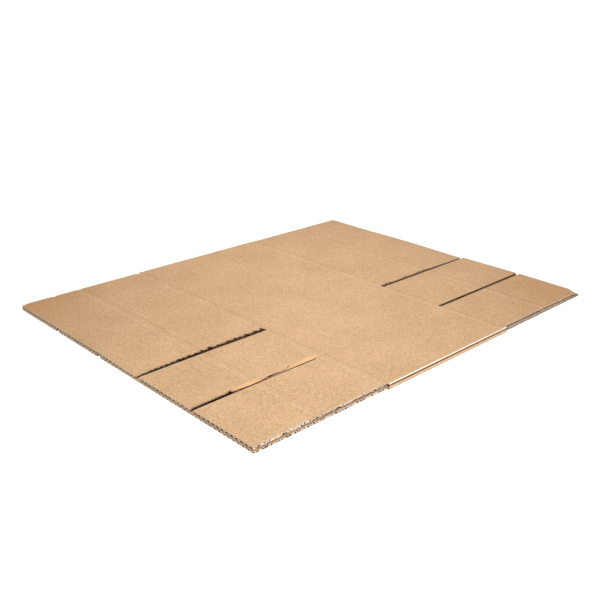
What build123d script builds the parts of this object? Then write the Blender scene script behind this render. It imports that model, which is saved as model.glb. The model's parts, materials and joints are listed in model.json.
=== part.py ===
import os
from math import atan2, floor, sqrt, tan

from build123d import *

# A carton of corrugated board, folded flat. It lies on the side that has the glued joint.
# X runs across the flat carton from fold to fold, Y runs along the flutes from flap edge to
# flap edge, Z points up, and the origin is the middle of its underside. Sizes in millimetres.

# The carton's panels and flaps
long_panel = 305
short_panel = 215
body_height = 232
flap_length = 197
outer_crease = 93  # from a flap's free edge to the middle of its second crease

# The corrugated board
board_thickness = 3.3
liner_thickness = 0.4
medium_thickness = 0.3
flute_pitch = 7.9
crest_width = 1.4  # the flat of each flute, glued to a liner

# The folds at both sides
panel_gap = 0.9  # between the inner liners of the two layers
fold_wall = 1.2  # board crushed by the score, where it turns back on itself
crushed_strip = 3.5  # from the turn to the board's full thickness
crease_height = 1.6  # from the middle of the flat carton up and down to the folds' creases
crease_depth = 0.5

# The slots between the flaps, and the slits that halve the flaps of the short panels
slot_width = 6.5
slit_width = 5.5
slot_corner = 1

# The score lines pressed into the outer liners
score_width = 3
score_depth = 0.2
score_spacing = 10

# The glued joint
tab_width = 35
tab_thickness = 0.8
tab_slope = 12  # by how much each end of the tab falls back at its free edge
tab_clearance = 2  # from the ends of the body to the tab
tab_step = 4  # over which the crushed board climbs to the tab
joint_gap = 4

flat_width = long_panel + short_panel
flat_length = body_height + 2 * flap_length
flat_thickness = 2 * board_thickness + panel_gap
lower_middle = board_thickness / 2
upper_middle = flat_thickness - board_thickness / 2

# Each layer is a long and a short panel side by side, and the lower one is the other way round.
corner_x = long_panel - flat_width / 2
slit_x = corner_x + short_panel / 2
joint_x = -corner_x

# One air channel between the waved medium and a liner. Its wide side lies on the liner, and the
# next channel is the same one upside down, half a pitch further on. The medium keeps its
# thickness round its bends, so its flats are wider outside a bend than inside.
channel_height = board_thickness - 2 * liner_thickness - medium_thickness
flank_angle = atan2(channel_height, flute_pitch / 2 - crest_width)
bend_share = medium_thickness * tan(flank_angle / 2)
channel_width = flute_pitch - crest_width - bend_share
channel_tip = crest_width - bend_share

with BuildSketch() as channel:
    with BuildLine():
        Polyline(
            (-channel_width / 2, 0),
            (channel_width / 2, 0),
            (channel_tip / 2, channel_height),
            (-channel_tip / 2, channel_height),
            close=True,
        )
    make_face()

turn_x = flat_width / 2 - flat_thickness / 2
fluted_half = turn_x - crushed_strip
channel_count = floor(2 * fluted_half / flute_pitch - 0.5)


def channel_rows(spacing, count):
    """Channels below and above the medium of one layer, about the middle of the board."""
    with BuildSketch() as rows:
        with Locations((-flute_pitch / 4, liner_thickness - board_thickness / 2)):
            with GridLocations(spacing, 0, count, 1):
                add(channel.sketch)
        with Locations((flute_pitch / 4, board_thickness / 2 - liner_thickness)):
            with GridLocations(spacing, 0, count, 1):
                add(channel.sketch, rotation=180)
    return rows.sketch


# The hollow inside a fold: a round turn that narrows to the gap between the layers
with BuildSketch() as fold_hollow:
    with Locations((turn_x, 0)):
        Circle(flat_thickness / 2 - fold_wall)
    with Locations((fluted_half, 0)):
        Rectangle(panel_gap, panel_gap)
    make_hull()


def slot_outline(width):
    """A cut that runs in from the flap's free edge, with its inner end at the origin."""
    with BuildSketch() as outline:
        Rectangle(width, flap_length + width, align=(Align.CENTER, Align.MAX))
        fillet(outline.vertices().group_by(Axis.Y)[-1], radius=slot_corner)
    return outline.sketch


def both_ends(x):
    """Where the slots at this x end, at the near and the far end of the body."""
    near = Location((x, -body_height / 2, 0))
    far = Location((x, body_height / 2, 0), (0, 0, 180))
    return near, far


slot = slot_outline(slot_width)
slit = slot_outline(slit_width)

# The joint's tab: board crushed flat, which climbs from one panel onto the inside of the other
tab_root = joint_x + joint_gap / 2
tab_end = joint_x - joint_gap / 2 - tab_width
tab_top = board_thickness + tab_thickness
tab_half = body_height / 2 - tab_clearance

with BuildPart() as tab:
    with BuildSketch(Plane.XZ):
        with BuildLine():
            Polyline(
                (tab_root + tab_step, board_thickness),
                (tab_root, tab_top),
                (tab_end, tab_top),
                (tab_end, board_thickness),
                close=True,
            )
        make_face()
    extrude(amount=body_height / 2, both=True)
    with BuildSketch(Plane.XY.offset(board_thickness)):
        with BuildLine():
            Polyline(
                (tab_root + tab_step, -tab_half),
                (tab_root + tab_step, tab_half),
                (tab_root, tab_half),
                (tab_end, tab_half - tab_slope),
                (tab_end, tab_slope - tab_half),
                (tab_root, -tab_half),
                close=True,
            )
        make_face()
    extrude(amount=tab_thickness, mode=Mode.INTERSECT)

with BuildPart() as folded_box:
    # The body: one band of board, folded back on itself at both sides.
    with BuildSketch(Plane.XZ):
        with Locations((0, flat_thickness / 2)):
            SlotOverall(flat_width, flat_thickness)
            Rectangle(2 * fluted_half, panel_gap, mode=Mode.SUBTRACT)
            add(fold_hollow.sketch, mode=Mode.SUBTRACT)
            add(fold_hollow.sketch, rotation=180, mode=Mode.SUBTRACT)
    extrude(amount=body_height / 2, both=True)

    # Each fold bulges to a lip above and below, with a sharp crease beside it.
    crease_x = turn_x + sqrt((flat_thickness / 2) ** 2 - crease_height**2)
    with BuildSketch(Plane.XZ):
        with Locations((0, flat_thickness / 2)):
            with GridLocations(2 * crease_x, 2 * crease_height, 2, 2):
                Circle(crease_depth)
    extrude(amount=body_height / 2, both=True, mode=Mode.SUBTRACT)

    # The flaps at both ends: two loose layers, cut back from the folds by half a slot.
    with BuildSketch(
        Plane.front.offset(body_height / 2), Plane.back.offset(body_height / 2)
    ):
        with Locations((0, lower_middle), (0, upper_middle)):
            Rectangle(flat_width - slot_width, board_thickness)
    extrude(amount=flap_length)

    # Slots at the panels' corners and slits halfway along the short panels' flaps.
    with BuildSketch(Plane.XY.offset(flat_thickness / 2)):
        with Locations(both_ends(corner_x)):
            add(slot)
        with Locations(both_ends(slit_x)):
            add(slit)
    extrude(amount=flat_thickness, mode=Mode.SUBTRACT)
    with BuildSketch(Plane.XY.offset(flat_thickness / 2)):
        with Locations(both_ends(joint_x)):
            add(slot)
        with Locations(both_ends(-slit_x)):
            add(slit)
    extrude(amount=-flat_thickness, mode=Mode.SUBTRACT)

    # The lower panels meet at the joint, where only the tab holds them together.
    with BuildSketch():
        with Locations((joint_x, 0)):
            Rectangle(joint_gap, body_height)
    extrude(amount=board_thickness, mode=Mode.SUBTRACT)
    add(tab.part)

    # Score lines: a pair across every flap at its root and another pair halfway, above and
    # below, and one along the corner between the upper panels. Each is a shallow round dent.
    score_radius = score_width**2 / (8 * score_depth) + score_depth / 2
    above = flat_thickness + score_radius - score_depth
    below = score_depth - score_radius
    root_y = body_height / 2
    second_y = flat_length / 2 - outer_crease
    with BuildSketch(Plane.YZ):
        for y in (-second_y, -root_y, root_y, second_y):
            with Locations((y, above), (y, below)):
                with GridLocations(score_spacing, 0, 2, 1):
                    Circle(score_radius)
    extrude(amount=flat_width / 2, both=True, mode=Mode.SUBTRACT)
    with BuildSketch(Plane.XZ):
        with Locations((corner_x, above)):
            Circle(score_radius)
    extrude(amount=flat_length / 2, both=True, mode=Mode.SUBTRACT)

    # The waved medium is what is left between the channels of each layer. The flaps have one
    # more channel at each side, where the body's board is crushed for the fold.
    with BuildSketch(Plane.front.offset(-flat_length / 2)):
        with Locations((0, lower_middle), (0, upper_middle)):
            add(channel_rows(flute_pitch, channel_count))
    extrude(amount=flat_length, mode=Mode.SUBTRACT)
    with BuildSketch(
        Plane.front.offset(body_height / 2), Plane.front.offset(-flat_length / 2)
    ):
        with Locations((0, lower_middle), (0, upper_middle)):
            add(channel_rows((channel_count + 1) * flute_pitch, 2))
    extrude(amount=flap_length, mode=Mode.SUBTRACT)

os.makedirs("parts", exist_ok=True)
folded_box.part.label = "folded_box"
export_step(folded_box.part, "parts/folded_box.step")
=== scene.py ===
# %% [markdown]
# # A carton of corrugated board, folded flat
#
# A shipping carton leaves the box maker as one sheet of corrugated board. It has been slotted,
# scored, glued along one joint and folded flat. Corrugated board is three papers: an outer liner,
# a waved medium and an inner liner. The CAD part has them as one solid. Here each paper is
# modelled by itself, so that the open ends of the flutes, the torn cuts and the folds look like
# paper. X runs across the carton from fold to fold, Y runs along the flutes and Z points up.
# Lengths are in metres.

# %% Load the CAD frame
import json
import math
import random
from contextlib import contextmanager

import bpy
import numpy as np
from mathutils import Matrix, Vector

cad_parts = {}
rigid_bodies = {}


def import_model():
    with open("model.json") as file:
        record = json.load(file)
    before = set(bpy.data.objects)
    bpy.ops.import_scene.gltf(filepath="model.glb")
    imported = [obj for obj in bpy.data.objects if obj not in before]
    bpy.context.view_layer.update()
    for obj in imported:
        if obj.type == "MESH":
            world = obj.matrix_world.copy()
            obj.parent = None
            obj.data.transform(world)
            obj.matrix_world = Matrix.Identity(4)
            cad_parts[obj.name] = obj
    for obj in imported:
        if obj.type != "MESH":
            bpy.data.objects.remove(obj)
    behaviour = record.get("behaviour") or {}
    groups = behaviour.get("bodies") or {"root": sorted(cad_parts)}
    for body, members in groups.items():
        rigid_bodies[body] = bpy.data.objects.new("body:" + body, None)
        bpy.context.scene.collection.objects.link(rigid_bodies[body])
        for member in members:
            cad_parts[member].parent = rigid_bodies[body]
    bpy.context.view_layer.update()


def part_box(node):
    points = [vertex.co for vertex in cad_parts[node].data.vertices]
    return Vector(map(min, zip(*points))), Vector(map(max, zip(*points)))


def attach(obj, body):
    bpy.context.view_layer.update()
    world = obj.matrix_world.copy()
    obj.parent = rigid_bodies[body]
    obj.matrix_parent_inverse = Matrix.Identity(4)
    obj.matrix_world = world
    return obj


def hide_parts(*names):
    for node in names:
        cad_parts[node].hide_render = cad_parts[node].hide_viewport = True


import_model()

low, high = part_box("folded_box")
flat_width, flat_length, flat_thickness = high - low
print("flat carton", [round(size * 1000, 2) for size in (flat_width, flat_length, flat_thickness)], "mm")

# %% [markdown]
# ## Sizes of the carton and its board
#
# The box from the CAD frame gives the three outside sizes. The sizes below say how the blank is
# divided and how the board is made up, and they are the same ones that the solid was built from.
# The upper layer has its long panel on the left. The lower layer is the other way round.

# %% Sizes in metres
mm = 0.001
long_panel = 305 * mm
body_height = 232 * mm
outer_crease = 93 * mm
board = 3.3 * mm
liner = 0.4 * mm
medium = 0.3 * mm
pitch = 7.9 * mm
slot_width = 6.5 * mm
slit_width = 5.5 * mm
crushed_strip = 3.5 * mm
joint_gap = 4 * mm
tab_width = 35 * mm
tab_slope = 12 * mm
tab_board = 0.8 * mm

half_width = flat_width / 2
half_length = flat_length / 2
half_body = body_height / 2
flap_side = half_width - slot_width / 2
turn_radius = flat_thickness / 2
turn_x = half_width - turn_radius
corner_x = long_panel - half_width
slit_x = corner_x + (flat_width - long_panel) / 2
upper_slots = ((corner_x, slot_width), (slit_x, slit_width))
lower_slots = ((-corner_x, slot_width), (-slit_x, slit_width))
print("slots of the upper layer at x =", [round(x / mm, 1) for x, width in upper_slots], "mm")

# %% [markdown]
# ## Working as by hand
#
# Blender's edit operators act on what is selected, in the object that is open in edit mode. Two
# helpers keep that clear. `editing` opens one piece with nothing selected and closes it again,
# and `pick` selects the corners or faces whose places pass a test. With no window there is
# nothing to click on, so a place is what tells one corner from another.

# %% Helpers for edit mode
def only(piece):
    """Make this piece the one selected and active object."""
    for other in bpy.context.selected_objects:
        other.select_set(False)
    piece.select_set(True)
    bpy.context.view_layer.objects.active = piece


@contextmanager
def editing(piece):
    """Open a piece in edit mode with nothing selected, and close it again."""
    only(piece)
    bpy.ops.object.mode_set(mode="EDIT")
    bpy.ops.mesh.select_mode(type="VERT")
    bpy.ops.mesh.select_all(action="DESELECT")
    yield
    bpy.ops.object.mode_set(mode="OBJECT")


def places(items, field):
    """The x, y and z of a mesh's corners or faces, as three arrays."""
    flat = np.empty(len(items) * 3, np.float32)
    items.foreach_get(field, flat)
    return flat.reshape(-1, 3).T


def rim_corners(mesh):
    """Which corners lie on an open edge of the sheet."""
    used = np.empty(len(mesh.loops), np.int32)
    mesh.loops.foreach_get("edge_index", used)
    ends = np.empty(len(mesh.edges) * 2, np.int32)
    mesh.edges.foreach_get("vertices", ends)
    on_rim = np.bincount(used, minlength=len(mesh.edges)) == 1
    found = np.zeros(len(mesh.vertices), bool)
    found[ends.reshape(-1, 2)[on_rim].ravel()] = True
    return found


def pick(piece, test, kind="VERT", rim=False):
    """In edit mode, select the corners or faces whose places x, y, z pass the test."""
    bpy.ops.object.mode_set(mode="OBJECT")
    mesh = piece.data
    for layer in (mesh.vertices, mesh.edges, mesh.polygons):
        layer.foreach_set("select", np.zeros(len(layer), bool))
    items = mesh.polygons if kind == "FACE" else mesh.vertices
    chosen = test(*places(items, "center" if kind == "FACE" else "co"))
    if rim:
        chosen = chosen & rim_corners(mesh)
    items.foreach_set("select", chosen)
    bpy.context.tool_settings.mesh_select_mode = (kind == "VERT", False, kind == "FACE")
    bpy.ops.object.mode_set(mode="EDIT")
    return int(chosen.sum())

# %% [markdown]
# ## Cutting, applying and counting
#
# A knife's cut is Blender's bisect, which divides what is selected along a plane. It can also
# take away what lies beyond the plane. A modifier is applied as soon as it is set, so that the
# next step finds its corners. The number of triangles tells whether a piece came out as meant.

# %% Helpers for cuts and modifiers
def cut(point, direction, remove=False):
    """Cut what is selected along a plane. With remove, what lies beyond the plane goes."""
    bpy.ops.mesh.bisect(plane_co=point, plane_no=direction, clear_outer=remove, threshold=1e-6)


def finish_modifiers(piece):
    """Apply all the modifiers of a piece."""
    only(piece)
    for modifier in list(piece.modifiers):
        bpy.ops.object.modifier_apply(modifier=modifier.name)


def triangles(piece):
    """How many triangles the faces of a piece make."""
    sides = np.empty(len(piece.data.polygons), np.int32)
    piece.data.polygons.foreach_get("loop_total", sides)
    return int((sides - 2).sum())

# %% [markdown]
# ## One flute, and a sheet of them
#
# Everything in the board repeats with the flutes, every 7.9 mm. So a sheet starts as a strip one
# flute wide. Its columns are raised by a wave, an Array repeats it across the carton, and two
# cuts trim the sides. The knife and the scorer never run quite true to the flutes, so the whole
# sheet is turned by a third of a degree first. Then the cuts wander from a crest to a valley on
# their way, as they do on real board. A narrow band is marked off at both ends, for the frayed
# ends and so that the marks of wear and painted shade at the ends stay narrow.

# %% A waved sheet
skew = math.radians(0.35)
crest_x = 2.0 * mm  # where a crest of the upper layer lies
end_band = 1.1 * mm
spare_flutes = 3  # these and the spare length are cut off again
spare_length = 1.02
flute_count = math.ceil(flat_width / pitch) + spare_flutes


def waved_sheet(name, height, wave, columns, rows, phase=0.0):
    """A sheet of flutes at this height. Each flute is as many faces wide as there are columns."""
    bpy.ops.object.select_all(action="DESELECT")
    bpy.ops.mesh.primitive_grid_add(x_subdivisions=columns, y_subdivisions=rows, size=1)
    piece = bpy.context.object
    piece.name = piece.data.name = name
    with editing(piece):
        bpy.ops.mesh.select_all(action="SELECT")
        bpy.ops.transform.resize(value=(pitch, flat_length * spare_length, 1))
        bpy.ops.transform.translate(value=(0, 0, height))
        for column in range(columns + 1):
            place = (column / columns - 0.5) * pitch
            pick(piece, lambda x, y, z: abs(x - place) < pitch / columns / 4)
            bpy.ops.transform.translate(value=(0, 0, wave(2 * math.pi * column / columns)))
    array = piece.modifiers.new("flutes", "ARRAY")
    array.use_relative_offset = False
    array.use_constant_offset = True
    array.constant_offset_displace = (pitch, 0, 0)
    array.count = flute_count
    array.use_merge_vertices = True
    array.merge_threshold = 0.02 * mm
    finish_modifiers(piece)
    start = -math.floor(flute_count / 2) * pitch + crest_x + phase + pitch / 2
    with editing(piece):
        bpy.ops.mesh.select_all(action="SELECT")
        bpy.ops.transform.translate(value=(start, 0, 0))
        bpy.ops.transform.rotate(value=skew, orient_axis="Z", center_override=(0, 0, 0))
        for direction in (-1, 1):
            bpy.ops.mesh.select_all(action="SELECT")
            cut((direction * flap_side, 0, 0), (direction, 0, 0), remove=True)
            bpy.ops.mesh.select_all(action="SELECT")
            cut((0, direction * half_length, 0), (0, direction, 0), remove=True)
            bpy.ops.mesh.select_all(action="SELECT")
            cut((0, direction * (half_length - end_band), 0), (0, direction, 0))
    return piece


print("flutes in a sheet:", flute_count)

# %% [markdown]
# ## Slots and body sides
#
# A slotter knife takes a strip out of the board between two flaps, from the free edge to the
# root. In a sheet of faces the strip's two long sides and its root are cut, and the faces
# between them are deleted. The body of the sheet is cut at its sides to where the fold begins.

# %% Slotting and trimming a sheet
def cut_slots(piece, slots, torn_back=0.0):
    """Cut the slots. torn_back is how far the paper is torn away beyond the knife's cut."""
    with editing(piece):
        for end in (-1, 1):
            bpy.ops.mesh.select_all(action="SELECT")
            cut((0, end * half_body, 0), (0, 1, 0))
            for x_middle, width in slots:
                reach = width / 2 + torn_back
                for side in (-1, 1):
                    pick(piece, lambda x, y, z: y * end > half_body, "FACE")
                    cut((x_middle + side * reach, 0, 0), (1, 0, 0))
                pick(piece, lambda x, y, z: (y * end > half_body) & (abs(x - x_middle) < reach), "FACE")
                bpy.ops.mesh.delete(type="FACE")


def trim_body(piece, side_x):
    """Take off what the body's part of a sheet has beyond x = side_x at both sides."""
    with editing(piece):
        for side in (-1, 1):
            pick(piece, lambda x, y, z: abs(y) < half_body, "FACE")
            cut((side * side_x, 0, 0), (1, 0, 0))
            pick(piece, lambda x, y, z: (abs(y) < half_body) & (x * side > side_x), "FACE")
            bpy.ops.mesh.delete(type="FACE")

# %% [markdown]
# ## Score lines
#
# A crease is pressed from inside by a ring, against a wider groove outside. So the outer liner
# shows a low bead between two sharp lines, 10 mm apart: each line is steep on the bead's side
# and runs out flat on the other. Four rows of corners make a line. The second is pushed in, and
# the third a little less. Under a crease the medium is crushed.

# %% Scoring a sheet
crease_half = 5 * mm
score_depth = 0.45 * mm
steep_side = 1.2 * mm
gentle_side = 3.2 * mm
second_row = 0.5 * mm
second_share = 0.75
crushed_height = 0.62
hair = 0.01 * mm  # how closely a row of corners is found again
crease_middles = [side * place for side in (-1, 1) for place in (half_body, half_length - outer_crease)]


def press_line(piece, axis, middle, away, depth, inwards):
    """Press one line across a liner. away is the way its gentle side looks along the axis."""
    direction = tuple(float(number == axis) for number in range(3))
    for offset in (-steep_side * away, 0, second_row * away, gentle_side * away):
        bpy.ops.mesh.select_all(action="SELECT")
        cut(tuple((middle + offset) * share for share in direction), direction)
    for offset, share in ((0, 1.0), (second_row * away, second_share)):
        place = middle + offset
        pick(piece, lambda *spot: abs(spot[axis] - place) < hair)
        bpy.ops.transform.translate(value=(0, 0, inwards * depth * share))


def press_scores(piece, inwards):
    """Press the creases across the flaps into a liner. inwards is -1 from above, 1 from below."""
    with editing(piece):
        for middle in crease_middles:
            for away in (-1, 1):
                press_line(piece, 1, middle + away * crease_half, away, score_depth, inwards)


def crush_creases(piece, height):
    """Flatten the medium under the creases, about the middle of its board."""
    outer, inner = crease_half + gentle_side, crease_half + 0.9 * mm
    with editing(piece):
        for middle in crease_middles:
            for offset in (-outer, -inner, inner, outer):
                bpy.ops.mesh.select_all(action="SELECT")
                cut((0, middle + offset, 0), (0, 1, 0))
            pick(piece, lambda x, y, z: abs(y - middle) < inner + 0.1 * mm)
            bpy.ops.transform.resize(value=(1, 1, crushed_height), center_override=(0, 0, height))


print("creases across the flaps at y =", [round(y / mm, 1) for y in crease_middles], "mm")

# %% [markdown]
# ## Ragged cuts
#
# A slotter knife is never sharp for long. It leaves the edge of a slot a little torn, so the open
# edges of every paper are divided and their corners shaken: little in the liners and a lot in the
# medium, which is soft and hangs free between them.

# %% Shaking the cut edges
near_cut = 0.3 * mm
too_close = 0.35 * mm  # corners nearer to each other are merged before an edge is divided
height_left = 0.1


def on_walls(slots, torn_back=0.0):
    """A test for places on the walls of the slots, or on the sides of the flaps."""

    def test(x, y, z):
        found = abs(abs(x) - flap_side) < near_cut
        for x_middle, width in slots:
            found = found | (abs(abs(x - x_middle) - width / 2 - torn_back) < near_cut)
        return found & (abs(y) > half_body - near_cut) & (abs(y) < half_length - near_cut)

    return test


def ragged(piece, test, cuts, amount, seed, level=None):
    """Divide the open edges that pass the test and shake their corners, as a blunt knife leaves them.
    With a level, the sheet is flat and its corners come back to that height."""
    with editing(piece):
        pick(piece, test, rim=True)
        bpy.ops.mesh.remove_doubles(threshold=too_close)
        pick(piece, test, rim=True)
        bpy.ops.mesh.subdivide(number_cuts=cuts)
        pick(piece, test, rim=True)
        bpy.ops.transform.vertex_random(offset=amount, uniform=0, normal=0, seed=seed)
        if level is not None:
            bpy.ops.transform.resize(value=(1, 1, height_left), center_override=(0, 0, level))

# %% [markdown]
# ## Outer liner
#
# The outer liner is what one sees: kraft paper that dips a little between the flutes it is glued
# to. Each layer gets a sheet of its own, because they are cut in different places. The upper one
# is slotted first, and its body is cut off where the folds begin to turn.

# %% Upper outer liner
washboard = 0.06 * mm
liner_columns, liner_rows = 4, 36


def crown(angle):
    """How far the liner sinks between two flutes."""
    return washboard * (math.cos(angle) - 1) / 2


top_liner = waved_sheet("outer_liner_top", flat_thickness, crown, liner_columns, liner_rows)
cut_slots(top_liner, upper_slots)
trim_body(top_liner, turn_x)
print("outer liner, top, slotted:", triangles(top_liner), "triangles")

# %% [markdown]
# ### Bits off the edges
#
# The knife was blunt, and small bits came off the edges all along the slots and the sides of the
# flaps. Each is a triangle: two cuts meet inside the paper, and the faces between them are
# deleted. Those of the long slots show one by one, so they have places of their own. The others
# only have to look uneven, so they are drawn at random, with a fixed seed.

# %% Cut bits out of the upper liner
slit_wall = slit_x - slit_width / 2
slot_wall = corner_x - slot_width / 2


def notch(piece, wall_x, y_place, depth, reach):
    """Cut a triangle out of a flap's right edge, which lies at wall_x. reach is half its length."""
    corner = (wall_x - depth, y_place, 0)

    def around(x, y, z):
        beside = (x > corner[0] - 2 * mm) & (x < wall_x + 0.1 * mm)
        return beside & (abs(y - y_place) < reach + 10 * mm) & (abs(y) > half_body)

    def inside(x, y, z):
        lines = [(x - corner[0]) * -reach + (y - y_place) * side * depth for side in (-1, 1)]
        return (np.maximum(*lines) < 0) & (x < wall_x + 0.1 * mm) & (abs(y - y_place) < reach)

    for side in (-1, 1):
        pick(piece, around, "FACE")
        cut(corner, (-reach, side * depth, 0))
    pick(piece, inside, "FACE")
    bpy.ops.mesh.delete(type="FACE")


# Bits that the knife took out of the long slots' edge: place, depth and half length in millimetres
slot_notches = (
    (-303, 1.8, 3), (-292, 2.6, 3.5), (-285, 3.2, 3), (-277, 2.4, 3), (-270, 2.8, 3), (-262, 2.2, 3.5),
    (-252, 3.6, 4.5), (-245, 2.4, 3), (-237, 3.2, 3.5), (-226, 2.8, 3.5), (-216, 5.0, 3.2), (-204, 5.2, 5),
    (-192, 2.8, 3), (-175, 3.6, 4.5), (-163, 4.4, 3.2), (-156, 2.8, 3.5), (-145, 3.6, 4.5), (-130, 3.0, 4.5),
    (-119.5, 5.0, 3), (121, 2.6, 3.5), (129, 3.2, 3.5), (137, 2.6, 3.5), (175, 3.4, 3.5), (207, 2.2, 3.5),
    (216, 2.6, 3.5), (225, 2.2, 3.5),
)
notches = [(slot_wall, *spot) for spot in slot_notches]
dice = random.Random(8)

# Along the near slit's left edge: the first place, the spacing and how many
first, spacing, count = -307, 4.8, 11
for step in range(count):
    notches.append((slit_wall, first + spacing * step, dice.uniform(0.9, 1.6), 1.1))

# Along the right side of the near and of the far flap
for first, spacing, count in ((-306, 8, 23), (128, 5.6, 31)):
    for step in range(count):
        place = first + spacing * step + dice.uniform(-1, 1)
        notches.append((flap_side, place, dice.uniform(1.2, 2.6), dice.uniform(1.3, 2.2)))
with editing(top_liner):
    for wall_x, place, depth, reach in notches:
        notch(top_liner, wall_x, place * mm, depth * mm, reach * mm)
print("bits cut out:", len(notches))

# %% [markdown]
# ### Folds
#
# The upper liner goes on around both folds: the open edges of its body are spun half a turn
# about the middle of the fold. A spun edge is a perfect half round and a real fold isn't. It has
# a round lip above, a sharp crease under the lip, and then a nearly flat wall, so each row of
# corners is moved from the round to that outline.

# %% Spin both folds
# How far each row of the fold lies outwards from the turn and up from its middle, from the top
fold_outline = [
    (1.20, 3.74), (2.30, 3.62), (3.00, 3.30), (3.35, 2.85), (3.20, 2.45), (2.60, 2.20), (2.40, 1.80),
    (3.20, 1.35), (3.65, 0.90), (3.75, 0.00), (3.75, -1.20), (3.74, -2.50), (3.65, -3.20), (3.30, -3.65),
    (1.60, -3.75),
]
crease_height = 1.9 * mm
fold_steps = len(fold_outline) + 1


def at_fold(side):
    """A test for the body's open edge, where a fold begins."""
    return lambda x, y, z: (
        (abs(x - side * turn_x) < hair) & (abs(y) < half_body + hair) & (abs(z - flat_thickness) < 0.2 * mm)
    )


with editing(top_liner):
    for side in (-1, 1):
        pick(top_liner, at_fold(side), rim=True)
        middle = (side * turn_x, 0, turn_radius)
        bpy.ops.mesh.spin(steps=fold_steps, angle=-side * math.pi, center=middle, axis=(0, 1, 0))
    for row, (out, up) in enumerate(fold_outline, start=1):
        angle = math.pi * row / fold_steps
        round_out, round_up = turn_radius * math.sin(angle), turn_radius * math.cos(angle)
        for side in (-1, 1):
            spot = (side * (turn_x + round_out), turn_radius + round_up)
            pick(top_liner, lambda x, y, z: (abs(x - spot[0]) < 0.1 * mm) & (abs(z - spot[1]) < 0.1 * mm))
            bpy.ops.transform.translate(value=(side * (out * mm - round_out), 0, up * mm - round_up))
print("outer liner, top, folded:", triangles(top_liner), "triangles")

# %% [markdown]
# ### Creases and the slipped lip
#
# The creases are pressed after the folds are spun, because the spin looks for the body's edge at
# the height of the flat sheet. One more line is pressed along the corner between the two panels,
# less deep. The knife met the right fold a little off, so its lip is slipped a few millimetres
# along the body at both ends. Then the cut edges are made ragged.

# %% Press the creases and slip the lip
corner_depth = 0.12 * mm
far_slip = 7 * mm
near_slip = 3 * mm
press_scores(top_liner, -1)
with editing(top_liner):
    press_line(top_liner, 0, corner_x, 1, corner_depth, -1)
    for end, slip in ((1, far_slip), (-1, near_slip)):
        pick(top_liner, lambda x, y, z: (x > turn_x + 0.8 * mm) & (abs(y - end * half_body) < hair))
        bpy.ops.transform.translate(value=(0, slip, 0))
liner_shake = 0.18 * mm
ragged(top_liner, on_walls(upper_slots), 8, liner_shake, 3, flat_thickness)
print("outer liner, top:", triangles(top_liner), "triangles")

# %% [markdown]
# ### The torn slit
#
# Beside the near slit the knife pulled the outer liner back in two long bites, up to the crest
# where it is glued, and the slope of that flute shows. Small bites are missing on the left side
# of the carton and at its far right corner. These edges are pulled one by one: the corner at the
# middle of a bite moves, and its neighbours follow less with their distance.

# %% Bites out of the upper liner
def tear(piece, spot, move, radius, falloff):
    """Pull the corners at a spot, and those within the radius along the paper less and less."""
    found = pick(piece, lambda x, y, z: (x - spot[0]) ** 2 + (y - spot[1]) ** 2 < (1.2 * mm) ** 2)
    if found:
        bpy.ops.transform.translate(
            value=move, use_proportional_edit=True, use_proportional_connected=True,
            proportional_edit_falloff=falloff, proportional_size=radius,
        )
    return found


# From where to where along the slit the two bites reach
near_bite = (-254.5 * mm, -200 * mm)
far_bite = (-186 * mm, -half_body + 1 * mm)

# Each bite: where it is pulled, how far, how far along the paper that reaches, and how it fades
bites = (
    ((slit_wall, -233 * mm), (-4.8 * mm, 0, 0), 23 * mm, "SPHERE"),
    ((slit_wall, -210 * mm), (-1.8 * mm, 0, 0), 16 * mm, "SMOOTH"),
    ((slit_wall, -134 * mm), (-4.4 * mm, 0, 0), 36 * mm, "SPHERE"),
    ((slit_wall, -170 * mm), (-1.6 * mm, 0, 0), 18 * mm, "SMOOTH"),
    ((slit_wall, -258 * mm), (-2.6 * mm, 0, 0), 4 * mm, "SMOOTH"),
    ((-flap_side, -264 * mm), (2.4 * mm, 0, 0), 5 * mm, "SMOOTH"),
    ((-flap_side, -224 * mm), (2.0 * mm, 0, 0), 4 * mm, "SMOOTH"),
    ((-flap_side, -121 * mm), (2.4 * mm, 0, 0), 5 * mm, "SMOOTH"),
    ((flap_side, half_length), (-2.2 * mm, -2.2 * mm, 0), 9 * mm, "SMOOTH"),
)
with editing(top_liner):
    torn = sum(tear(top_liner, *bite) > 0 for bite in bites)
print("bites torn:", torn, "of", len(bites))

# %% [markdown]
# ### Lower outer liner
#
# The lower liner looks at the floor. It is made as the upper one is, with its wave upside down
# and its flutes at other places, because the two layers are different parts of the blank. Its
# panels meet in the middle of the body, where the carton is glued, so a narrow gap is cut out
# between them.

# %% Lower outer liner, with the gap of the joint
def cut_joint(piece):
    """Take out the gap between the two panels that the joint holds together."""
    with editing(piece):
        for side in (-1, 1):
            pick(piece, lambda x, y, z: abs(y) < half_body, "FACE")
            cut((-corner_x + side * joint_gap / 2, 0, 0), (1, 0, 0))
        pick(piece, lambda x, y, z: (abs(y) < half_body) & (abs(x + corner_x) < joint_gap / 2), "FACE")
        bpy.ops.mesh.delete(type="FACE")


def low_crown(angle):
    """How far the lower liner rises between the valleys of the medium that it is glued to."""
    return -crown(angle + math.pi)


lower_phase = 3 * mm
bottom_liner = waved_sheet("outer_liner_bottom", 0, low_crown, liner_columns, liner_rows, lower_phase)
cut_slots(bottom_liner, lower_slots)
trim_body(bottom_liner, turn_x)
press_scores(bottom_liner, 1)
ragged(bottom_liner, on_walls(lower_slots), 8, liner_shake, 4, 0)
cut_joint(bottom_liner)
papers = {"outer_liner_top": top_liner, "outer_liner_bottom": bottom_liner}
print("outer liner, bottom:", triangles(bottom_liner), "triangles")

# %% [markdown]
# ## Waved medium
#
# The medium is a paper of its own, pressed to a wave between two hot rollers. Its crests touch
# the liners from inside, half the paper's thickness away from them. Eight columns to a flute are
# enough to make the wave round. Near a fold the board is crushed, and the medium ends there.

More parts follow.
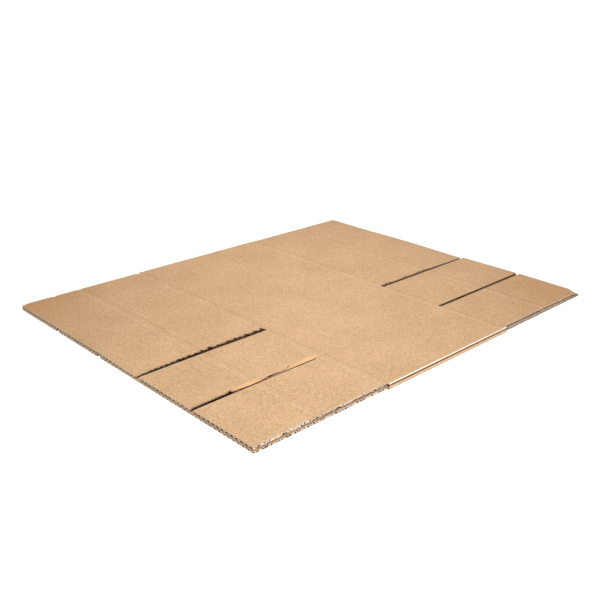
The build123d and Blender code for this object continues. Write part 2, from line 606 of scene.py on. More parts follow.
# %% Both media
medium_burr = 0.2 * mm
wave_height = (board - 2 * liner - medium - medium_burr) / 2
fluted_half = turn_x - crushed_strip
medium_columns, medium_rows = 8, 20
medium_torn = 0.5 * mm
medium_shake = 0.5 * mm


def medium_wave(angle):
    """How high the medium lies above the middle of the board."""
    return wave_height * math.cos(angle)


for name, middle, slots, phase in (
    ("medium_top", flat_thickness - board / 2, upper_slots, 0.0),
    ("medium_bottom", board / 2, lower_slots, lower_phase),
):
    papers[name] = waved_sheet(name, middle, medium_wave, medium_columns, medium_rows, phase)
    crush_creases(papers[name], middle)
    cut_slots(papers[name], slots, medium_torn)
    trim_body(papers[name], fluted_half)
    ragged(papers[name], on_walls(slots, medium_torn), 24, medium_shake, 5)
    print(name, triangles(papers[name]), "triangles")
cut_joint(papers["medium_bottom"])

# %% [markdown]
# ### The medium in the torn slit
#
# Where the bites lay it open, the medium hangs out of the slit a little, and also between them.
# It is pulled out as the liner was pulled back. How pale or dark a paper is, by wear, painted
# light and painted shade, will be kept at its corners, and would fade from one row to the next
# over 30 mm. So rows are cut close together where a bite ends.

# %% Pull the medium into the slit
bite_ends = [place * mm for place in (-255, -254, -201, -199, -187, -185)]
with editing(papers["medium_top"]):
    for place in bite_ends:
        pick(
            papers["medium_top"], lambda x, y, z: (abs(x - slit_wall) < 12 * mm) & (y < -half_body), "FACE"
        )
        cut((0, place, 0), (0, 1, 0))
    for place, reach, radius in ((-228, 2.2, 24), (-134, 2.2, 34), (-193, 2.6, 9)):
        spot = (slit_wall - medium_torn, place * mm)
        found = tear(papers["medium_top"], spot, (reach * mm, 0, 0), radius * mm, "SPHERE")
        print("medium pulled out at", place, "mm, corners picked:", found)

# %% [markdown]
# ## Inner liners
#
# The inner liners are plain sheets that face each other across the narrow gap between the layers.
# They need no wave, because they show only in the cuts and at the open ends.

# %% Both inner liners
upper_inside = flat_thickness - board
lower_inside = board
inner_shake = 0.25 * mm
for name, height, slots in (
    ("inner_liner_top", upper_inside, upper_slots),
    ("inner_liner_bottom", lower_inside, lower_slots),
):
    papers[name] = waved_sheet(name, height, lambda angle: 0.0, 1, 24)
    cut_slots(papers[name], slots)
    trim_body(papers[name], fluted_half)
    ragged(papers[name], on_walls(slots), 24, inner_shake, 7, height)
cut_joint(papers["inner_liner_bottom"])
for name, piece in papers.items():
    print(name, triangles(piece), "triangles")

# %% [markdown]
# ## Inside the folds
#
# At a fold the scored board is crushed to about a third of its thickness and turned back on
# itself. Its open ends show at both ends of the body: outer liner, crushed medium, inner liner
# and a drop-shaped hollow. Each of the two inner papers is a strip that leaves its layer,
# climbs to the turn, is spun around it and comes back to the other layer.

# %% Turned strips in the folds
def folded_strips(name, radius, start_height):
    """A paper that turns inside both folds at this radius, from one layer to the other."""
    bpy.ops.object.select_all(action="DESELECT")
    bpy.ops.mesh.primitive_grid_add(x_subdivisions=1, y_subdivisions=24, size=1)
    strip = bpy.context.object
    strip.name = strip.data.name = name
    with editing(strip):
        bpy.ops.mesh.select_all(action="SELECT")
        bpy.ops.transform.resize(value=(crushed_strip, body_height, 1))
        bpy.ops.transform.translate(value=(turn_x - crushed_strip / 2, 0, start_height))
        pick(strip, lambda x, y, z: x > turn_x - 0.1 * mm)
        bpy.ops.transform.translate(value=(0, 0, turn_radius + radius - start_height))
        bpy.ops.mesh.spin(steps=10, angle=-math.pi, center=(turn_x, 0, turn_radius), axis=(0, 1, 0))
        back = (-crushed_strip, 0, radius + turn_radius - start_height)
        bpy.ops.mesh.extrude_edges_move(TRANSFORM_OT_translate={"value": back})
        bpy.ops.mesh.select_all(action="SELECT")
        bpy.ops.mesh.duplicate()
        bpy.ops.transform.rotate(value=math.pi, orient_axis="Z", center_override=(0, 0, 0))
    return strip


lining_radius = 2.55 * mm
fold_medium_radius = 3.1 * mm
fold_medium_start = upper_inside + 0.75 * mm
papers["fold_lining"] = folded_strips("fold_lining", lining_radius, upper_inside)
papers["fold_medium"] = folded_strips("fold_medium", fold_medium_radius, fold_medium_start)
for name in ("fold_lining", "fold_medium"):
    print(name, triangles(papers[name]), "triangles")

# %% [markdown]
# ## The glued joint
#
# Underneath, the two ends of the blank meet in the middle of the body. A tab of crushed board
# runs on from one panel and is glued to the inside of the other. It shows as a strip at the
# bottom of the joint's gap.

# %% Tab of the joint
bpy.ops.object.select_all(action="DESELECT")
bpy.ops.mesh.primitive_grid_add(x_subdivisions=6, y_subdivisions=24, size=1)
tab = bpy.context.object
tab.name = tab.data.name = "joint_tab"
tab_root = -corner_x + joint_gap / 2
tab_reach = joint_gap + tab_width
tab_length = body_height - 4 * mm
tab_foot = 0.4 * mm
with editing(tab):
    bpy.ops.mesh.select_all(action="SELECT")
    bpy.ops.transform.resize(value=(tab_reach, tab_length, 1))
    bpy.ops.transform.translate(value=(tab_root - tab_reach / 2, 0, board))
    pick(tab, lambda x, y, z: x > tab_root - 0.1 * mm)
    bpy.ops.mesh.extrude_edges_move(TRANSFORM_OT_translate={"value": (0, 0, tab_foot - board)})
    pick(tab, lambda x, y, z: x < tab_root - tab_reach + 0.1 * mm)
    bpy.ops.transform.resize(value=(1, 1 - 2 * tab_slope / tab_length, 1), center_override=(0, 0, 0))
print("tab", triangles(tab), "triangles")
papers["joint_tab"] = tab

# %% [markdown]
# ## Torn fibres in the cuts
#
# Where the wide slotter knife went along a flute it tore the medium, and shreds of it stand in
# the cut between the liners. Such a wall starts as a ribbon of small faces, which is copied to
# the walls of the slots and the sides of the flaps. The narrow slits were cut cleaner. A small
# tuft of fibres stands at each end of a fold. A ribbon stays whole until the flaps are pressed,
# because pressing follows the paper.

# %% A ribbon on every wall that the knife made
shred = 1.6 * mm
shred_thickness = 0.15 * mm
torn_side = 0.45 * mm
torn_slot = 1.1 * mm
tuft = 5.2 * mm
flap_length = half_length - half_body
wall_sides = []
for slots, middle in ((upper_slots, flat_thickness - board / 2), (lower_slots, board / 2)):
    wall_sides += [(-flap_side, -1, middle), (flap_side, 1, middle)]
    x_middle, width = slots[0]
    wall_sides += [(x_middle - width / 2, 1, middle), (x_middle + width / 2, -1, middle)]

bpy.ops.object.select_all(action="DESELECT")
bpy.ops.mesh.primitive_grid_add(x_subdivisions=round(flap_length / shred), y_subdivisions=2, size=1)
torn_edges = bpy.context.object
torn_edges.name = torn_edges.data.name = "torn_edges"
with editing(torn_edges):
    bpy.ops.mesh.select_all(action="SELECT")
    bpy.ops.transform.resize(value=(flap_length, board - 2 * liner, 1))
    bpy.ops.transform.rotate(value=math.pi / 2, orient_axis="X", center_override=(0, 0, 0))
    bpy.ops.transform.rotate(value=math.pi / 2, orient_axis="Z", center_override=(0, 0, 0))
    for x_wall, looks, middle in wall_sides:
        for end in (-1, 1):
            pick(torn_edges, lambda x, y, z: abs(y) < half_body - 1 * mm)
            depth = torn_side if abs(x_wall) == flap_side else torn_slot
            shift = (x_wall - looks * depth, end * (half_body + flap_length / 2), middle)
            bpy.ops.mesh.duplicate_move(TRANSFORM_OT_translate={"value": shift})
    pick(torn_edges, lambda x, y, z: abs(y) < half_body - 1 * mm, "FACE")
    bpy.ops.mesh.delete(type="FACE")
    for side in (-1, 1):
        for end in (-1, 1):
            slip = (far_slip if end > 0 else near_slip) if side > 0 else 0
            spot = (side * (turn_x + 0.6 * mm), end * (half_body + 0.8 * mm) + slip, turn_radius + 0.8 * mm)
            bpy.ops.mesh.primitive_grid_add(
                x_subdivisions=4, y_subdivisions=4, size=1, location=spot, rotation=(math.pi / 2, 0, 0)
            )
            bpy.ops.transform.resize(value=(tuft, 1, tuft), center_override=spot)
papers["torn_edges"] = torn_edges
print("ribbons on", 2 * len(wall_sides), "walls,", triangles(torn_edges), "triangles")

# %% [markdown]
# ## What handling did to it
#
# A carton that was handled and stored flat has no flap that lies quite true. Each flap of the
# upper layer is a little lower at one corner than its neighbour, and the corner at the far right
# is crushed. Pressing is a scaling towards the floor about one place: the corners there move
# most, and the others less with their distance along the paper, so a slot stops it.

# %% Press the flaps and crush the corner
# Each press: where, the share of its height that is left there, and how far it reaches in millimetres
presses = (
    (corner_x - slot_width, -half_length, 0.75, 95),
    (corner_x + slot_width, -half_length, 0.97, 60),
    (slit_x - slit_width, -half_length, 0.87, 70),
    (corner_x - slot_width, half_length, 0.8, 110),
    (flap_side - 3 * mm, half_length, 0.84, 100),
    (flap_side - 1 * mm, half_length, 0.45, 15),
    (-flap_side + 1 * mm, -half_length, 0.85, 10),
    (-100 * mm, -half_length, 0.96, 50),
    (-165 * mm, half_length, 0.95, 60),
)


beside = 4.2 * mm  # corners this near to a place across the carton are pressed in full
along = 2 * mm


def press(piece, x_place, y_place, share, radius):
    """Press one paper down at a place. Returns how many corners were there."""
    with editing(piece):
        found = pick(piece, lambda x, y, z: (abs(x - x_place) < beside) & (abs(y - y_place) < along))
        if found:
            bpy.ops.transform.resize(
                value=(1, 1, share), center_override=(x_place, y_place, 0), use_proportional_edit=True,
                use_proportional_connected=True, proportional_edit_falloff="SMOOTH",
                proportional_size=radius * mm,
            )
    return found


for x_place, y_place, share, radius in presses:
    moved = [press(piece, x_place, y_place, share, radius) for piece in papers.values()]
    print("pressed at", round(x_place / mm), round(y_place / mm), "corners picked", moved)

# %% [markdown]
# ### Shreds
#
# The flaps are pressed, so the ribbons can fall apart now. A good part of their faces is deleted
# at random, and what is left is shaken until it no longer lies in one plane.

# %% Shred the ribbons
lost_share = 0.42
with editing(torn_edges):
    bpy.context.tool_settings.mesh_select_mode = (False, False, True)
    bpy.ops.mesh.select_random(ratio=lost_share, seed=4)
    bpy.ops.mesh.delete(type="FACE")
    bpy.ops.mesh.select_mode(type="VERT")
    bpy.ops.mesh.select_all(action="SELECT")
    bpy.ops.transform.vertex_random(offset=0.4 * mm, uniform=0, normal=0, seed=6)
print("shreds left:", len(torn_edges.data.polygons))

# %% [markdown]
# ## Frayed ends of the flutes
#
# The knife that cut the blank to length crushed the ends of the flutes, so the wave shows there
# as a thick pale line of open fibres. The band at both ends of each medium becomes a piece of its
# own, which gets more than twice the paper's thickness below.

# %% Separate the ends of both media
frayed_thickness = 0.65 * mm
frayed_parts = []
for name in ("medium_top", "medium_bottom"):
    with editing(papers[name]):
        pick(papers[name], lambda x, y, z: abs(y) > half_length - end_band, "FACE")
        bpy.ops.mesh.separate(type="SELECTED")
    frayed_parts += [part for part in bpy.context.selected_objects if part != papers[name]]
only(frayed_parts[0])
frayed_parts[1].select_set(True)
bpy.ops.object.join()
frayed_ends = bpy.context.object
frayed_ends.name = frayed_ends.data.name = "frayed_ends"
papers["frayed_ends"] = frayed_ends
with editing(frayed_ends):
    bpy.ops.mesh.select_all(action="SELECT")
    bpy.ops.transform.vertex_random(offset=0.12 * mm, uniform=0, normal=0, seed=9)
print("frayed ends of", len(frayed_parts), "media,", triangles(frayed_ends), "triangles")

# %% [markdown]
# ## Shader maths
#
# A material is a graph of nodes. To keep it readable, a small class wraps one socket, and adding
# or multiplying two of them adds the Math node that does so. Colours are mixed by a node of
# their own, because a Math node would turn them grey.

# %% Sockets that add and multiply
def linear(red, green, blue):
    """A colour as a screen shows it, 0 to 255, as the linear colour that Blender works in."""

    def one(value):
        value = value / 255
        return value / 12.92 if value < 0.04045 else ((value + 0.055) / 1.055) ** 2.4

    return one(red), one(green), one(blue), 1.0


class Wire:
    """One output of a node. Sums on wires add Math nodes."""

    def __init__(self, tree, socket):
        self.tree = tree
        self.socket = socket

    def maths(self, operation, *others):
        """A Math node on this wire and the others."""
        node = self.tree.nodes.new("ShaderNodeMath")
        node.operation = operation
        for number, value in enumerate((self, *others)):
            plug(self.tree, node.inputs[number], value)
        return Wire(self.tree, node.outputs[0])

    def __add__(self, other):
        return self.maths("ADD", other)

    __radd__ = __add__

    def __mul__(self, other):
        return self.maths("MULTIPLY", other)

    __rmul__ = __mul__

    def step(self, start, stop):
        """0 below start, 1 above stop and a smooth rise between them."""
        node = self.tree.nodes.new("ShaderNodeMapRange")
        node.interpolation_type = "SMOOTHSTEP"
        plug(self.tree, node.inputs["Value"], self)
        node.inputs["From Min"].default_value = start
        node.inputs["From Max"].default_value = stop
        return Wire(self.tree, node.outputs["Result"])


def plug(tree, socket, value):
    """Lead a wire to a socket, or set the socket to a plain value."""
    if isinstance(value, Wire):
        tree.links.new(value.socket, socket)
    else:
        socket.default_value = value

# %% [markdown]
# ## A material in the making
#
# Every paper's material is built up in the same steps: a pattern from the place on the piece, a
# mix of colours by that pattern, and a bump of the same fibres. A class keeps the graph and the
# few nodes that are needed, so that a material below reads like a recipe.

# %% Patterns, mixes and the finish
class Paint:
    """A material in the making. Each method adds a node and gives its output as a wire."""

    def __init__(self, name):
        self.material = bpy.data.materials.new(name)
        self.material.use_nodes = True
        self.tree = self.material.node_tree
        self.shader = self.tree.nodes["Principled BSDF"]

    def node(self, kind, settings=None, output=0, **inputs):
        """Any node: its settings first, then the values or wires of its sockets."""
        made = self.tree.nodes.new(kind)
        for key, value in (settings or {}).items():
            setattr(made, key, value)
        for key, value in inputs.items():
            plug(self.tree, made.inputs[key.replace("_", " ")], value)
        return Wire(self.tree, made.outputs[output])

    def place(self):
        """The place on the piece, in metres."""
        return self.node("ShaderNodeTexCoord", output="Object")

    def stretched(self, x, y, z):
        """The place, scaled along each axis."""
        return self.node("ShaderNodeMapping", Vector=self.place(), Scale=(x, y, z))

    def noise(self, scale, detail=2.0, roughness=0.5, vector=None):
        """Noise of this many waves to a metre."""
        vector = vector or self.place()
        settings = {"Scale": scale, "Detail": detail, "Roughness": roughness}
        return self.node("ShaderNodeTexNoise", Vector=vector, **settings)

    def mix(self, share, first, second):
        """The first colour, or by its share the second."""
        node = self.tree.nodes.new("ShaderNodeMix")
        node.data_type = "RGBA"
        for number, value in ((0, share), (6, first), (7, second)):
            plug(self.tree, node.inputs[number], value)
        return Wire(self.tree, node.outputs[2])

    def flat(self, x, y):
        """The place seen from a spot x, y on the upper face, in metres."""
        away = (-x * mm, -y * mm, -flat_thickness)
        return self.node("ShaderNodeMapping", Vector=self.place(), Location=away)

    def finish(self, colour, roughness, height=None, depth=0.0):
        """Plug in the colour, the roughness and a bump, and give the finished material."""
        plug(self.tree, self.shader.inputs["Base Color"], colour)
        plug(self.tree, self.shader.inputs["Roughness"], roughness)
        self.shader.inputs["Specular IOR Level"].default_value = 0.25
        if height:
            bump = self.node("ShaderNodeBump", Height=height, Distance=depth, Strength=1.0)
            plug(self.tree, self.shader.inputs["Normal"], bump)
        return self.material

# %% [markdown]
# ## Kraft paper
#
# Kraft paper is never one brown. Its fibres lie in clouds a few centimetres wide, with a fine
# grain inside them and some dark specks. Towards the left and the far right corner it is painted
# a little darker and browner, as shade where the light is weaker. A cut edge is paler and greyer,
# because the blade opens the paper and lets its fibres stand out, and deep in a cut it is painted
# dark as shade.

# %% Paper materials
# Small dark marks on the upper face: x, y and radius in millimetres
scuffs = (
    (-88, -30, 1.6), (-78, -31, 1.3), (-68, -33, 1.6), (-59, -35, 1.2), (44, -73, 1.3), (99, -59, 1.5),
    (195, -37, 1.6), (219, -37, 1.4), (-66, 50, 1.3),
)


def kraft_face():
    """The face of a liner, with its clouds, grain, fibres, specks and scuffs, rubbed pale edges, painted
    shade towards two corners, and painted light and shade in folds, creases and cuts.
    """
    paint = Paint("kraft_face")
    clouds = paint.noise(14, 3, 0.6).step(0.3, 0.7)
    grain = paint.noise(620, 3, 0.8).step(0.32, 0.68)
    fibres = paint.noise(1, 3, 0.7, paint.stretched(900, 260, 900)).step(0.3, 0.7)
    specks = paint.noise(300, 2, 0.6).step(0.70, 0.75)
    wear_and_painted_light = paint.node("ShaderNodeAttribute", {"attribute_name": "wear_and_painted_light"}, output="Fac")
    # Painted shade: a band across the carton, where the face is made darker and browner towards the left and
    # the far right corner, where the light is weaker.
    across = paint.node("ShaderNodeMapping", Vector=paint.place(), Rotation=(0, 0, math.radians(-47)))
    painted_corner_shade = paint.node("ShaderNodeSeparateXYZ", Vector=across).maths("ABSOLUTE").step(0.24, 0.43)
    tone = clouds * 0.12 + grain * 0.5 + fibres * 0.38
    colour = paint.mix(tone, linear(180, 137, 95), linear(250, 211, 168))
    colour = paint.mix(specks * 0.5, colour, linear(150, 108, 74))
    # The painted shade towards the two corners.
    colour = paint.mix(painted_corner_shade * 0.36, colour, linear(200, 134, 78))
    # Above nought: paler, for rubbed edges and for the painted highlights on folds and score lines.
    colour = paint.mix(wear_and_painted_light * 0.6, colour, linear(252, 242, 226))
    # Below nought: painted shade, dark brown in creases, on slot walls and on score lines.
    colour = paint.mix(wear_and_painted_light * -1.0, colour, linear(88, 40, 12))
    for x, y, size in scuffs:
        far = paint.node("ShaderNodeVectorMath", {"operation": "DISTANCE"}, "Value", Vector=paint.flat(x, y))
        colour = paint.mix(far.step(size * mm, 0) * 0.6, colour, linear(120, 84, 56))
    height = grain * 0.6 + fibres * 0.4
    return paint.finish(colour, grain * 0.1 + 0.8, height, 0.06 * mm)


def plain_paper(name, dark, light, worn_and_lit):
    """Paper of one colour with a fine grain, a second colour where it is rubbed and where it is painted as
    lit, and painted dark as shade deep in a cut.
    """
    paint = Paint(name)
    grain = paint.noise(800, 3, 0.7).step(0.3, 0.7)
    wear_and_painted_light = paint.node("ShaderNodeAttribute", {"attribute_name": "wear_and_painted_light"}, output="Fac")
    colour = paint.mix(wear_and_painted_light, paint.mix(grain, linear(*dark), linear(*light)), linear(*worn_and_lit))
    # Below nought: painted shade, nearly black deep in a cut and inside the board.
    colour = paint.mix(wear_and_painted_light * -1.0, colour, linear(30, 20, 12))
    return paint.finish(colour, 0.9, grain, 0.08 * mm)


kraft = kraft_face()
liner_edge = plain_paper("liner_edge", (186, 132, 86), (222, 168, 118), (248, 236, 216))
medium_edge = plain_paper("medium_edge", (196, 182, 162), (250, 240, 222), (168, 108, 60))
# Shreds are painted dark brown, partly as shade for those deep in the slots; on the sides of the flaps they
# are pale torn fibres.
shred_paper = plain_paper("torn_shreds", (96, 72, 50), (168, 138, 106), (246, 236, 220))
# The medium is painted dark brown as shade, for the inside of the board. Where it is marked above nought it
# takes a bright orange kraft, painted light where it lies open to the light.
wavy_paper = plain_paper("medium_paper", (64, 44, 29), (88, 63, 42), (236, 187, 135))
# The faces inside the board are painted nearly black as shade; above nought they take a lit tan, painted
# light.
painted_shade_paper = plain_paper("inside_painted_shade", (42, 28, 18), (64, 44, 29), (210, 170, 130))
materials = (kraft, liner_edge, medium_edge, shred_paper, wavy_paper, painted_shade_paper)
print("materials:", [material.name for material in materials])

# %% [markdown]
# ## Worn edges, painted light and painted shade
#
# An open edge is paler where hands rubbed it. The other marks are painted light and shade: paler
# where a face lies open to the light, and darker where no light gets in, deep in cuts, in creases
# and in the mouths of the flutes. The share is kept with the mesh as a number at each corner, and
# the paper's material reads it. Every mark has a test for where it is, by place and by whether the
# corner lies on an open edge. Where two marks meet, the later one counts.

# %% Mark corners, and tests for open edges
def mark_wear_and_painted_light(piece, *marks):
    """Keep at every corner how pale, above 0, for rubbed paper and painted light, and how dark, below 0, for
    painted shade, the paper is there.
    """
    spot = places(piece.data.vertices, "co")
    rim = rim_corners(piece.data)
    share = np.zeros(len(piece.data.vertices), np.float32)
    for test, amount in marks:
        share[test(*spot, rim)] = amount
    wear_and_painted_light = piece.data.attributes.new("wear_and_painted_light", "FLOAT", "POINT")
    wear_and_painted_light.data.foreach_set("value", share)
    print(piece.name, "corners marked:", int((share != 0).sum()))


def side_rims(x, y, z, rim):
    """The open edges along the sides of the flaps."""
    return rim & (abs(x) > flap_side - 4 * mm)


def slot_rims(slots, side, end):
    """The open edges of the slots at one end, on the side of smaller x or on that of larger x."""

    def test(x, y, z, rim):
        found = np.zeros(len(x), bool)
        for x_middle, width in slots:
            found = found | (((x - x_middle) * side > 0) & (abs(x - x_middle) < width / 2 + 6 * mm))
        return found & rim & (y * end > half_body + 1 * mm) & (abs(y) < half_length - near_cut)

    return test


def flute_ends(x, y, z, rim):
    """The free edges of the flaps, where the flutes end."""
    return abs(y) > half_length - 0.1 * mm


def in_slots(x, y, z, rim):
    """All shreds but those on the sides of the flaps."""
    return abs(x) < flap_side - 6 * mm


def near_sides(x, y, z, rim):
    """The shreds on the sides of the near flaps."""
    return (abs(x) > flap_side - 3 * mm) & (y < 0)


def far_rims(x, y, z, rim):
    """The open edges along the sides of the far flaps."""
    return rim & (abs(x) > flap_side - 4 * mm) & (y > 0)


# The walls on the smaller-x side of the upper slots, at the near and the far end. Their marks are painted
# shade, darker at the near end.
near_walls, far_walls = slot_rims(upper_slots, -1, -1), slot_rims(upper_slots, -1, 1)

# %% [markdown]
# ### Folds, creases and bites
#
# A fold's lip is pale, partly as rubbed paper and partly as a painted highlight, and the wall
# below its middle is painted a little paler as lit. The crease under the lip, and the row below it,
# are painted dark brown as shade. Score lines get a painted highlight on the line at smaller y of
# each crease and painted shade on the other. Deep between the papers the medium is painted nearly
# black as shade, and in the bites it is painted bright, because there it lies open to the light.

# %% Tests for folds, creases and bites
def fold_lips(x, y, z, rim):
    """The round lip along the top of a fold."""
    return (abs(x) > turn_x + 2.2 * mm) & (z > turn_radius + 2.7 * mm)


def fold_creases(x, y, z, rim):
    """The sharp crease under the lip."""
    return (abs(x) > turn_x + 2.2 * mm) & (abs(z - turn_radius - crease_height) < 0.6 * mm)


def below_creases(x, y, z, rim):
    """The first row under a crease, which still lies in its shade."""
    return (abs(x) > turn_x + 3.5 * mm) & (abs(z - turn_radius - 0.9 * mm) < 0.2 * mm)


def fold_walls(x, y, z, rim):
    """The nearly flat wall of a fold, below its middle."""
    return (abs(x) > turn_x + 3.5 * mm) & (z < turn_radius + 0.1 * mm)


def flute_mouths(x, y, z, rim):
    """The last stretch of a medium before its frayed end."""
    return abs(y) > half_length - end_band - 0.3 * mm


def score_lines(away):
    """The two bottom rows of every score line that lies on this side of its crease's middle."""

    def test(x, y, z, rim):
        found = np.zeros(len(y), bool)
        for middle in crease_middles:
            found = found | (abs((y - middle) * away - crease_half - 0.25 * mm) < 0.3 * mm)
        return found & (abs(x) < flap_side)

    return test


def beside_cuts(end):
    """The medium close to the cuts of the upper layer, at one end of the carton."""

    def test(x, y, z, rim):
        found = (abs(x - corner_x) < slot_width / 2 + 6 * mm) | (abs(x - slit_x) < slit_width / 2 + 6 * mm)
        return found & (y * end > half_body - near_cut) & (abs(y) < half_length - 2 * mm)

    return test


def bitten(x, y, z, rim):
    """Beside the near slit, where the two bites lay the slope of a flute open."""
    along = np.zeros(len(y), bool)
    for first, last in (near_bite, far_bite):
        along = along | ((y > first) & (y < last))
    return (x > slit_wall - 8 * mm) & (x < slit_wall + 1 * mm) & along


def bitten_rim(x, y, z, rim):
    """The edges of the papers in the bites."""
    return rim & bitten(x, y, z, rim)


def between_bites(x, y, z, rim):
    """The bit of medium that hangs out between the two bites."""
    along = (y > near_bite[1]) & (y < far_bite[0])
    return (x > slit_wall - 2 * mm) & (x < slit_wall + 4 * mm) & along

# %% [markdown]
# ### The marks of every paper
#
# Each paper gets its marks in one go. The fold's medium, the tab and the frayed ends have none
# of their own, and their material then reads nought: no wear, no painted light and no painted shade.

# %% Mark every paper
# Upper liner: fold lips pale, part rubbed and part painted highlight; lower fold walls and one line of each
# score painted lighter as lit; the crease under the lip, the row below it, the other score line and the left
# slot walls painted dark as shade. Bitten edges, right slot walls, flap sides and flute ends are rubbed
# pale.
mark_wear_and_painted_light(
    top_liner, (score_lines(-1), 0.2), (score_lines(1), -0.12), (near_walls, -0.5), (far_walls, -0.25),
    (bitten_rim, 0.9), (slot_rims(upper_slots, 1, -1), 0.7), (slot_rims(upper_slots, 1, 1), 0.3),
    (side_rims, 0.5), (flute_ends, 0.3), (fold_lips, 1.6), (fold_creases, -1), (below_creases, -0.35),
    (fold_walls, 0.3),
)
mark_wear_and_painted_light(bottom_liner, (side_rims, 0.9), (flute_ends, 0.25))
# Upper inner liner: painted shade on the slot walls and at the ends of the flutes, pale rubbed edges along
# the far flaps.
mark_wear_and_painted_light(
    papers["inner_liner_top"], (near_walls, -0.7), (far_walls, -0.4), (bitten_rim, 0), (far_rims, 0.8),
    (flute_ends, -0.15),
)
# Lower inner liner: painted shade at the ends of the flutes, pale rubbed edges along the far flaps.
mark_wear_and_painted_light(papers["inner_liner_bottom"], (far_rims, 0.8), (flute_ends, -0.15))
# Painted shade near the cuts and in the mouths of the flutes, and painted light in the bites and on the
# medium pulled out between them.
mark_wear_and_painted_light(
    papers["medium_top"], (beside_cuts(-1), -1), (beside_cuts(1), -0.4), (bitten, 1),
    (between_bites, 0.7), (flute_mouths, -0.8),
)
# Painted shade in the mouths of the lower flutes.
mark_wear_and_painted_light(papers["medium_bottom"], (flute_mouths, -0.8))
mark_wear_and_painted_light(papers["fold_lining"], (side_rims, 0.9))
# Pale torn fibres on the sides of the near flaps, and painted shade on the shreds in the slots.
mark_wear_and_painted_light(torn_edges, (near_sides, 1), (in_slots, -0.3))

# %% [markdown]
# ## Paper gets its thickness
#
# So far every paper is a sheet of faces with no thickness. Its normals are made to agree first,
# and turned so that they point away from the middle of the board. The joint's gap parts the
# lower papers, so each side of it is looked at by itself. Then a Solidify modifier gives the
# paper its thickness, and puts the edge material on what the knife opened.

# %% Thickness, smooth shading and the ride on the frame
def keep_inside(piece):
    """Flatten what shaking and thickness moved out of the carton's own box."""
    with editing(piece):
        for axis, limit, way in (
            (0, -half_width, -1), (0, half_width, 1), (1, -half_length, -1), (1, half_length, 1),
            (2, 0, -1), (2, flat_thickness, 1),
        ):
            scale, centre = [1, 1, 1], [0, 0, 0]
            scale[axis], centre[axis] = 0, limit
            pick(piece, lambda *spot: (spot[axis] - limit) * way > 0)
            bpy.ops.transform.resize(value=scale, center_override=centre)


def dress(piece):
    """Let the piece ride on the frame's body, in the place of the CAD node."""
    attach(piece, "root")
    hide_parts("folded_box")
    print(piece.name, triangles(piece), "triangles")


def make_paper(piece, thickness, offset, face_material, rim_material, outside):
    """Give a sheet its thickness. outside is the way its highest or lowest face looks, up or down."""
    with editing(piece):
        bpy.ops.mesh.select_all(action="SELECT")
        bpy.ops.mesh.remove_doubles(threshold=0.002 * mm)
        bpy.ops.mesh.select_all(action="SELECT")
        bpy.ops.mesh.normals_make_consistent(inside=False)
    for side in (-1, 1):
        x, y, z = places(piece.data.polygons, "center")
        looks = places(piece.data.polygons, "normal")[2] * outside
        outermost = (z * outside > (z * outside).max() - 0.2 * mm) & ((x + corner_x) * side > 0)
        if looks[outermost].sum() < 0:
            with editing(piece):
                pick(piece, lambda *spot: outermost, "FACE")
                bpy.ops.mesh.select_linked()
                bpy.ops.mesh.flip_normals()
    # Unless a paper's edge is its face, the faces inside the board get the paper painted as shade.
    inside_material = face_material if face_material == rim_material else painted_shade_paper
    for material in (face_material, rim_material, inside_material):
        piece.data.materials.append(material)
    solidify = piece.modifiers.new("thickness", "SOLIDIFY")
    solidify.thickness = thickness
    solidify.offset = offset
    solidify.material_offset = 2
    solidify.material_offset_rim = 1
    finish_modifiers(piece)
    keep_inside(piece)
    bpy.ops.object.shade_smooth_by_angle(angle=math.radians(50))
    dress(piece)

# %% [markdown]
# ### Every paper
#
# The table gives each paper its thickness and says to which side it grows: -1 is inwards, away
# from where its face looks, 0 is both ways and 1 is outwards. Then come the material of its face
# and that of its cut edge, and the way its outermost face looks, 1 for up and -1 for down.

# %% Give every paper its thickness
for name, thickness, offset, face_material, rim_material, outside in (
    ("outer_liner_top", liner, -1, kraft, liner_edge, 1),
    ("outer_liner_bottom", liner, -1, kraft, liner_edge, -1),
    ("medium_top", medium + medium_burr, 0, wavy_paper, medium_edge, 1),
    ("medium_bottom", medium + medium_burr, 0, wavy_paper, medium_edge, 1),
    ("inner_liner_top", liner, -1, kraft, liner_edge, -1),
    ("inner_liner_bottom", liner, -1, kraft, liner_edge, 1),
    ("fold_lining", liner, 0, kraft, liner_edge, 1),
    ("fold_medium", medium, 0, wavy_paper, medium_edge, 1),
    ("joint_tab", tab_board, 1, kraft, liner_edge, -1),
    ("torn_edges", shred_thickness, 0, shred_paper, shred_paper, 1),
    ("frayed_ends", frayed_thickness, 0, medium_edge, medium_edge, 1),
):
    make_paper(papers[name], thickness, offset, face_material, rim_material, outside)

# %% [markdown]
# ## Camera
#
# The camera stands where a fit to the corners of the upper layer and the ends of its slots puts
# it, with no shift, and looks down at 22 degrees on the corner between the flute ends and a fold.

# %% Place the camera
camera_place = Vector((0.79681, -0.75160, 0.44423))
heading = math.radians(47.115)
down = math.radians(21.892)
roll = math.radians(-0.144)
camera_data = bpy.data.cameras.new("camera")
camera_data.lens = 48.775
camera_data.sensor_width = 36
camera = bpy.data.objects.new("camera", camera_data)
bpy.context.scene.collection.objects.link(camera)
turn = Matrix.Rotation(heading, 4, "Z") @ Matrix.Rotation(math.pi / 2 - down, 4, "X")
camera.matrix_world = Matrix.Translation(camera_place) @ turn @ Matrix.Rotation(roll, 4, "Z")
bpy.context.scene.camera = camera
print("camera", round(camera_place.length, 2), "m from the carton's middle")

# %% [markdown]
# ## Light
#
# Three soft lights do it. A long strip lamp hangs low on the camera's side, so the carton gets
# darker towards its left and right corners. A wide sun stands low at the right, which makes
# the folds bright and shows up the creases. An even white surround fills the rest. Together they
# light a level face at about one, where a colour shows as it was mixed.

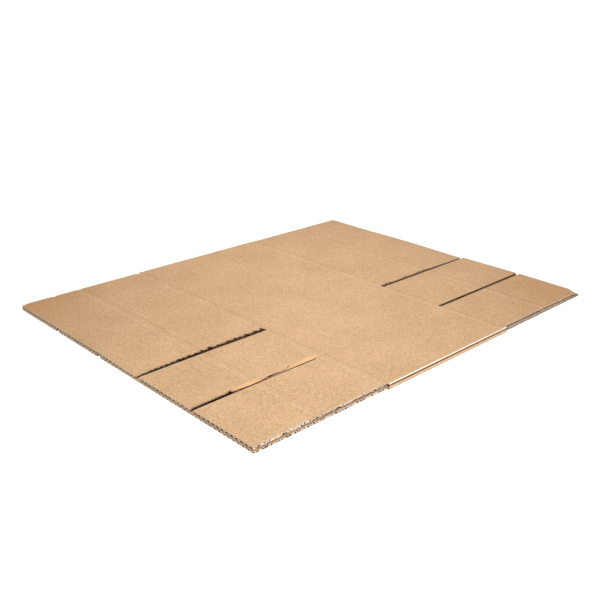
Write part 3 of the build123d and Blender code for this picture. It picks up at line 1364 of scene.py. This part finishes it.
# %% Sun and strip lamp
key_level = 0.64
key_height = math.radians(25)
key_turn = math.radians(-38)
key_data = bpy.data.lights.new("key", "SUN")
key_data.energy = key_level * math.pi
key_data.angle = math.radians(20)
key_data.color = (1.0, 0.96, 0.91)
key = bpy.data.objects.new("key", key_data)
key.rotation_euler = (0, math.pi / 2 - key_height, key_turn)
bpy.context.scene.collection.objects.link(key)

strip_data = bpy.data.lights.new("strip", "AREA")
strip_data.shape = "RECTANGLE"
strip_data.size = 3.0
strip_data.size_y = 0.2
strip_data.energy = 5.15
strip = bpy.data.objects.new("strip", strip_data)
strip.location = (0.829, -0.744, 0.48)
strip.rotation_euler = (0, 0, heading + math.pi / 2)
strip.visible_camera = False
bpy.context.scene.collection.objects.link(strip)
print("lamps:", [lamp.name for lamp in (key, strip)])

# %% [markdown]
# ## Surround and floor
#
# To the camera the surround has a strength of one, which is white, while it lights the carton
# with a quarter of that. The floor is white to the camera because part of it glows only in camera
# rays. The rest of it is plain white paint, which keeps the carton's soft shadow.

# %% White surround and floor
fill_level = 0.25


def seen_directly(tree):
    """1 for rays from the camera, and for the ones that gloss and glass send on."""
    path = tree.nodes.new("ShaderNodeLightPath")
    camera_ray, glossy_ray, transmission_ray = [
        Wire(tree, path.outputs[name]) for name in ("Is Camera Ray", "Is Glossy Ray", "Is Transmission Ray")
    ]
    return camera_ray.maths("MAXIMUM", glossy_ray).maths("MAXIMUM", transmission_ray)


world = bpy.data.worlds.new("studio")
bpy.context.scene.world = world
world.use_nodes = True
surround = world.node_tree.nodes["Background"]
surround.inputs["Color"].default_value = (1, 1, 1, 1)
strength = seen_directly(world.node_tree) * (1 - fill_level) + fill_level
plug(world.node_tree, surround.inputs["Strength"], strength)

bpy.ops.object.select_all(action="DESELECT")
bpy.ops.mesh.primitive_plane_add(size=30)
floor = bpy.context.object
floor.name = "floor"
floor_paint = Paint("floor_paint")
tree = floor_paint.tree
tree.nodes.remove(floor_paint.shader)
glow = floor_paint.node("ShaderNodeEmission", Color=(1, 1, 1, 1), Strength=1.3)
white = floor_paint.node("ShaderNodeBsdfDiffuse", Color=(1, 1, 1, 1))
grey = floor_paint.node("ShaderNodeBsdfDiffuse", Color=(0.8, 0.8, 0.8, 1))
to_camera = tree.nodes.new("ShaderNodeMixShader")
for number, value in ((0, 0.35), (1, glow), (2, white)):
    plug(tree, to_camera.inputs[number], value)
surface = tree.nodes.new("ShaderNodeMixShader")
for number, value in ((0, seen_directly(tree)), (1, grey), (2, Wire(tree, to_camera.outputs[0]))):
    plug(tree, surface.inputs[number], value)
tree.links.new(surface.outputs[0], tree.nodes["Material Output"].inputs["Surface"])
floor.data.materials.append(floor_paint.material)
bpy.context.scene.view_settings.view_transform = "Standard"
